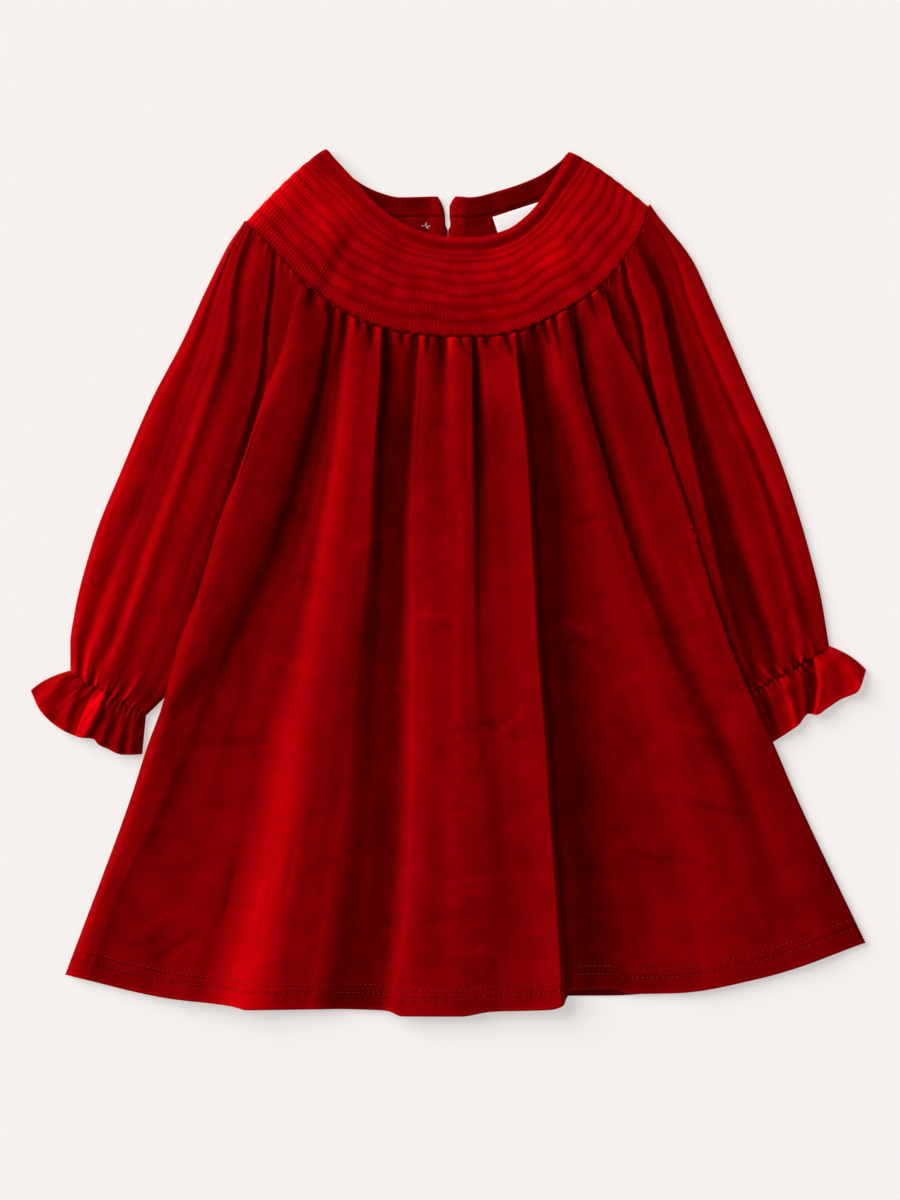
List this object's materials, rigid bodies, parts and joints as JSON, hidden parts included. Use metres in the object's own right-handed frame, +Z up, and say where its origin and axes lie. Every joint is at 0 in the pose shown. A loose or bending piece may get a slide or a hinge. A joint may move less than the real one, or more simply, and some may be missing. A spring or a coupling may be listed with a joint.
{
  "type": "toddler party dress",
  "caption": "Long-sleeved toddler dress in velvet, laid flat: round shirred yoke, gathered A-line skirt, bishop sleeves with frilled cuffs and a slit at the back neck.",
  "frame": {"origin": "on the floor under the middle of the dress's bounding box, where the laid dress rests", "axes": "+Z up off the floor, +Y from the hem towards the neck, +X towards the wearer's left sleeve"},
  "size_m": [0.4683, 0.485, 0.0115],
  "materials": {
    "velvet": "deep red polyester velvet, brushed nap",
    "shirred_velvet": "deep red velvet with shirred rows",
    "label": "white woven satin ribbon, blank",
    "button": "glossy dark red resin"
  },
  "bodies": {
    "root": {"skirt_front": "velvet", "skirt_back": "velvet", "sleeve_right": "velvet", "sleeve_left": "velvet", "frill_right": "velvet", "frill_left": "velvet", "yoke": "shirred_velvet", "neckband": "velvet", "label": "label", "button": "button"}
  },
  "joints": []
}
